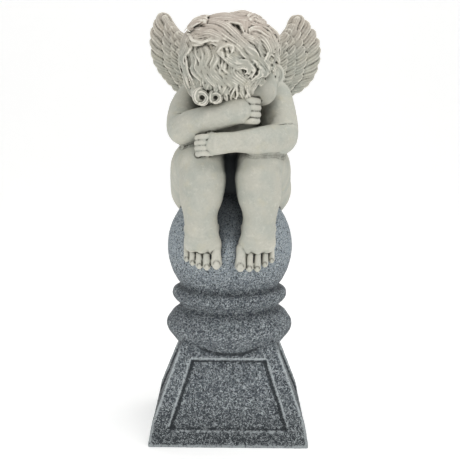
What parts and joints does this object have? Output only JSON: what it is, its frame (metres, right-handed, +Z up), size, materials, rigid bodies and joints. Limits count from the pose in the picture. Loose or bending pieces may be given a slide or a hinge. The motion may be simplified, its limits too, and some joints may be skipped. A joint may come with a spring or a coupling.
{
  "type": "sleeping cherub statue on a pedestal",
  "caption": "Cast garden statue of a winged cherub asleep with the head on folded arms, seated on a ball over turned rings and a flared square block with sunk panels.",
  "frame": {"origin": "centre of the pedestal's underside, on the floor", "axes": "+Z up the statue; the cherub faces -Y, and +X is to the right of someone who looks at its front"},
  "size_m": [0.2111, 0.201, 0.5006],
  "materials": {
    "cherub_stone": "cast resin painted as aged pale stone: warm grey cream with a dark wash in the hollows",
    "pedestal_granite": "cast resin painted as dark blue-grey granite, with fine pale speckle and dry-brushed edges"
  },
  "bodies": {
    "root": {"cherub": "cherub_stone", "pedestal": "pedestal_granite"}
  },
  "joints": []
}
